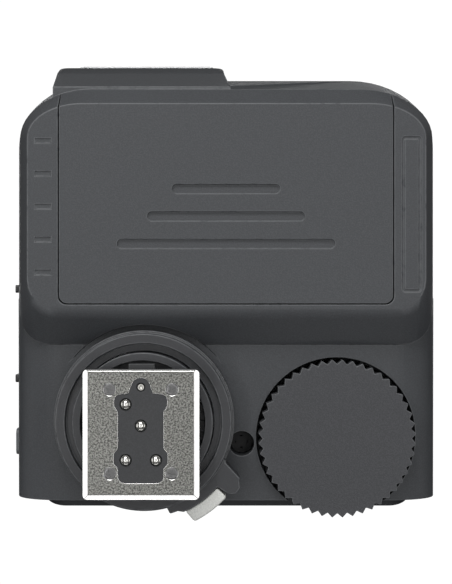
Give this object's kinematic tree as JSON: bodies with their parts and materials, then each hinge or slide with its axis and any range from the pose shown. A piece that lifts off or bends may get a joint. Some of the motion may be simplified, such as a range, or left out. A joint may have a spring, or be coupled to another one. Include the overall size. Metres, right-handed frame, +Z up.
{
  "type": "wireless flash trigger",
  "caption": "Wireless flash trigger with a locking shoe foot, sliding battery door, toothed thumb dial, sloped display panel and top accessory shoe.",
  "frame": {"origin": "underside of the shoe foot, on the axis of its centre contact", "axes": "+X to the user's right, +Y towards the lens, +Z up"},
  "size_m": [0.0733, 0.0778, 0.051],
  "materials": {
    "case_plastic": "fine sand-textured dark grey ABS",
    "upper_plastic": "fine textured charcoal ABS",
    "panel_plastic": "smooth satin black fascia",
    "clear_window": "clear polished acrylic",
    "lcd": "grey-green liquid crystal glass",
    "black_plastic": "matte black moulding",
    "cell_jacket": "printed foil jacket, plain",
    "spring_steel": "nickel-plated spring steel",
    "foot_steel": "bead-blasted steel with bright chamfers",
    "screw_steel": "zinc-plated steel",
    "pin_nickel": "polished nickel",
    "lever_grey": "pale grey insert",
    "dial_rubber": "matte black, toothed rim",
    "switch_plastic": "black ribbed knob",
    "button_rubber": "soft grey key",
    "light_pipe": "clear to milky polycarbonate",
    "board_green": "solder mask",
    "brass_contact": "gold-plated",
    "lamp_red": "tinted epoxy"
  },
  "bodies": {
    "case": {"lower_case": "case_plastic", "upper_case": "upper_plastic", "control_panel": "panel_plastic", "display_window": "clear_window", "display_module": "lcd", "battery_tray": "black_plastic", "battery_front": "cell_jacket", "battery_rear": "cell_jacket", "battery_contacts": "spring_steel", "battery_springs": "spring_steel", "foot_plate": "foot_steel", "foot_insert": "black_plastic", "foot_neck": "black_plastic", "foot_screws": "screw_steel", "foot_bracket": "spring_steel", "contact_springs": "spring_steel", "dial_encoder": "black_plastic", "status_light": "light_pipe", "button_membrane": "button_rubber", "main_board": "board_green", "board_parts": "black_plastic", "radio_module": "spring_steel", "antenna": "brass_contact", "usb_socket": "spring_steel", "sync_jack": "screw_steel", "beeper": "black_plastic", "lamp_lens": "light_pipe", "lamp_led": "lamp_red", "case_screws": "screw_steel", "shoe_rails": "foot_steel", "shoe_base": "black_plastic", "shoe_contacts": "brass_contact", "shoe_screws": "screw_steel"},
    "door": {"battery_door": "case_plastic"},
    "lock_ring": {"lock_ring": "black_plastic", "lever_cap": "lever_grey", "ring_clip": "spring_steel"},
    "collar": {"clamp_collar": "black_plastic"},
    "lock_pin": {"lock_pin": "pin_nickel"},
    "dial": {"select_dial": "dial_rubber", "dial_shaft": "screw_steel"},
    "power_knob": {"power_switch": "switch_plastic"},
    "lamp_knob": {"lamp_switch": "switch_plastic"},
    "test_key": {"test_button": "button_rubber"},
    "pin_centre": {"contact_pin_centre": "pin_nickel"},
    "pin_front": {"contact_pin_front": "pin_nickel"},
    "pin_rear_right": {"contact_pin_rear_right": "pin_nickel"},
    "pin_rear_left": {"contact_pin_rear_left": "pin_nickel"},
    "function_key_1": {"function_button_1": "button_rubber"},
    "function_key_2": {"function_button_2": "button_rubber"},
    "function_key_3": {"function_button_3": "button_rubber"},
    "function_key_4": {"function_button_4": "button_rubber"},
    "menu_key": {"menu_button": "button_rubber"},
    "mode_key": {"mode_button": "button_rubber"},
    "set_key": {"set_button": "button_rubber"},
    "group_key": {"group_button": "button_rubber"},
    "channel_key": {"channel_button": "button_rubber"}
  },
  "joints": [
    {"name": "door_slide", "type": "slide", "parent": "case", "child": "door", "axis": [0, 1, 0], "range_m": [0, 0.04]},
    {"name": "lock_turn", "type": "hinge", "parent": "case", "child": "lock_ring", "pos_m": [0, 0, 0.008], "axis": [0, 0, 1], "range_deg": [0, 60]},
    {"name": "collar_drop", "type": "slide", "parent": "case", "child": "collar", "axis": [0, 0, -1], "range_m": [0, 0.0009]},
    {"name": "lock_pin_drop", "type": "slide", "parent": "case", "child": "lock_pin", "axis": [0, 0, -1], "range_m": [0, 0.0017]},
    {"name": "dial_turn", "type": "hinge", "parent": "case", "child": "dial", "pos_m": [-0.0321, -0.0033, 0.014], "axis": [0, 0, 1], "continuous": true},
    {"name": "pin_centre_press", "type": "slide", "parent": "case", "child": "pin_centre", "axis": [0, 0, 1], "range_m": [0, 0.0005], "stiffness_N_per_m": 900, "springref_m": -0.0003},
    {"name": "pin_front_press", "type": "slide", "parent": "case", "child": "pin_front", "axis": [0, 0, 1], "range_m": [0, 0.0005], "stiffness_N_per_m": 900, "springref_m": -0.0003},
    {"name": "pin_rear_right_press", "type": "slide", "parent": "case", "child": "pin_rear_right", "axis": [0, 0, 1], "range_m": [0, 0.0005], "stiffness_N_per_m": 900, "springref_m": -0.0003},
    {"name": "pin_rear_left_press", "type": "slide", "parent": "case", "child": "pin_rear_left", "axis": [0, 0, 1], "range_m": [0, 0.0005], "stiffness_N_per_m": 900, "springref_m": -0.0003},
    {"name": "power_slide", "type": "slide", "parent": "case", "child": "power_knob", "axis": [0, -1, 0], "range_m": [0, 0.0035]},
    {"name": "lamp_slide", "type": "slide", "parent": "case", "child": "lamp_knob", "axis": [0, -1, 0], "range_m": [0, 0.0035]},
    {"name": "test_press", "type": "slide", "parent": "case", "child": "test_key", "axis": [-1, 0, 0], "range_m": [0, 0.0006], "stiffness_N_per_m": 1500, "springref_m": -0.0002},
    {"name": "function_key_1_press", "type": "slide", "parent": "case", "child": "function_key_1", "axis": [0, 0.9063, -0.4226], "range_m": [0, 0.0004], "stiffness_N_per_m": 1500, "springref_m": -0.0002},
    {"name": "function_key_2_press", "type": "slide", "parent": "case", "child": "function_key_2", "axis": [0, 0.9063, -0.4226], "range_m": [0, 0.0004], "stiffness_N_per_m": 1500, "springref_m": -0.0002},
    {"name": "function_key_3_press", "type": "slide", "parent": "case", "child": "function_key_3", "axis": [0, 0.9063, -0.4226], "range_m": [0, 0.0004], "stiffness_N_per_m": 1500, "springref_m": -0.0002},
    {"name": "function_key_4_press", "type": "slide", "parent": "case", "child": "function_key_4", "axis": [0, 0.9063, -0.4226], "range_m": [0, 0.0004], "stiffness_N_per_m": 1500, "springref_m": -0.0002},
    {"name": "menu_key_press", "type": "slide", "parent": "case", "child": "menu_key", "axis": [0, 0.9063, -0.4226], "range_m": [0, 0.0004], "stiffness_N_per_m": 1500, "springref_m": -0.0002},
    {"name": "mode_key_press", "type": "slide", "parent": "case", "child": "mode_key", "axis": [0, 0.9063, -0.4226], "range_m": [0, 0.0004], "stiffness_N_per_m": 1500, "springref_m": -0.0002},
    {"name": "set_key_press", "type": "slide", "parent": "case", "child": "set_key", "axis": [0, 0.9063, -0.4226], "range_m": [0, 0.0004], "stiffness_N_per_m": 1500, "springref_m": -0.0002},
    {"name": "group_key_press", "type": "slide", "parent": "case", "child": "group_key", "axis": [0, 0.9063, -0.4226], "range_m": [0, 0.0004], "stiffness_N_per_m": 1500, "springref_m": -0.0002},
    {"name": "channel_key_press", "type": "slide", "parent": "case", "child": "channel_key", "axis": [0, 0.9063, -0.4226], "range_m": [0, 0.0004], "stiffness_N_per_m": 1500, "springref_m": -0.0002}
  ],
  "couplings": [
    {"joint": "collar_drop", "follows": "lock_turn", "m_per_rad": 0.00076394},
    {"joint": "lock_pin_drop", "follows": "lock_turn", "m_per_rad": 0.0015279}
  ]
}
